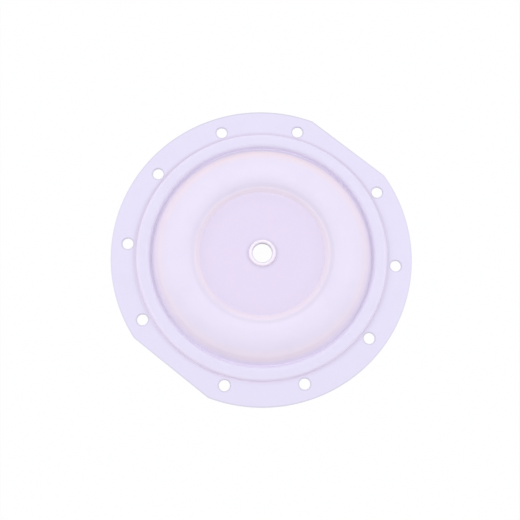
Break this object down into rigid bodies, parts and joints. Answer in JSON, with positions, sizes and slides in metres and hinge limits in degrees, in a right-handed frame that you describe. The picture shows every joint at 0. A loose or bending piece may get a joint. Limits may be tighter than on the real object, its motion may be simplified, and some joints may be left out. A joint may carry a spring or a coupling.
{
  "type": "pump diaphragm",
  "caption": "Round moulded pump diaphragm: thin sheet with a bolted flange, a clamping bead, a wide convolution and a recessed plate seat round a rod hole.",
  "frame": {"origin": "on the rod hole's axis, level with the underside of the flange", "axes": "+Z along the rod hole towards the bulged side, +X square to the flange's two straight sides"},
  "size_m": [0.274, 0.288, 0.0188],
  "materials": {
    "ptfe": "smooth satin moulded PTFE, white with a faint lavender tint"
  },
  "bodies": {
    "root": {"diaphragm": "ptfe"}
  },
  "joints": []
}
